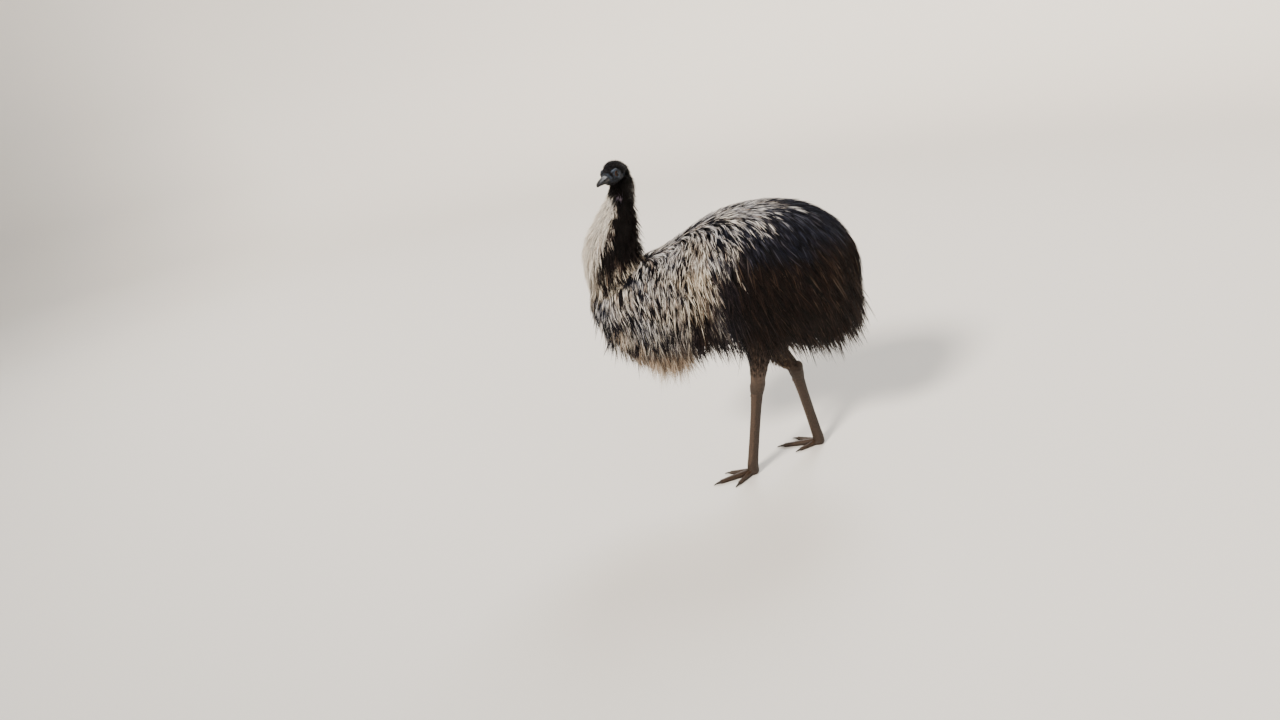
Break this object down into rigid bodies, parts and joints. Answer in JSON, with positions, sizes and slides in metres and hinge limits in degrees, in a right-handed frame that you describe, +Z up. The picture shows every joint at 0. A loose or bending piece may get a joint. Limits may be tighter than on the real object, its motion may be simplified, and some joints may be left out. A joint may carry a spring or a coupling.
{
  "type": "emu figure",
  "caption": "Life-size walking emu with its neck up and its head turned to its left, as a still standing model.",
  "frame": {"origin": "on the floor, under the middle of the whole model's box", "axes": "+Z up, the bird's body faces -X, its left side is towards -Y"},
  "size_m": [1.0438, 0.4368, 1.3281],
  "materials": {
    "grey_plumage": "matte shaggy feathers",
    "dark_plumage": "matte shaggy feathers",
    "neck_plumage": "matte hair-like feathers",
    "head_plumage": "matte bristly feathers over bare blue-grey skin",
    "leg_skin": "dull bare skin under thin feathers",
    "leg_scales": "scaly, slightly glossy",
    "bill_horn": "satin horn",
    "claw_horn": "satin horn",
    "eye": "wet and clear"
  },
  "bodies": {
    "root": {"bill_lower": "bill_horn", "bill_upper": "bill_horn", "claw_inner_left": "claw_horn", "claw_inner_right": "claw_horn", "claw_middle_left": "claw_horn", "claw_middle_right": "claw_horn", "claw_outer_left": "claw_horn", "claw_outer_right": "claw_horn", "eye_left": "eye", "eye_right": "eye", "foot_left": "leg_scales", "foot_right": "leg_scales", "head": "head_plumage", "neck": "neck_plumage", "shank_left": "leg_scales", "shank_right": "leg_scales", "tail": "dark_plumage", "thigh_left": "leg_skin", "thigh_right": "leg_skin", "toe_inner_left": "leg_scales", "toe_inner_right": "leg_scales", "toe_middle_left": "leg_scales", "toe_middle_right": "leg_scales", "toe_outer_left": "leg_scales", "toe_outer_right": "leg_scales", "torso": "grey_plumage"}
  },
  "joints": []
}
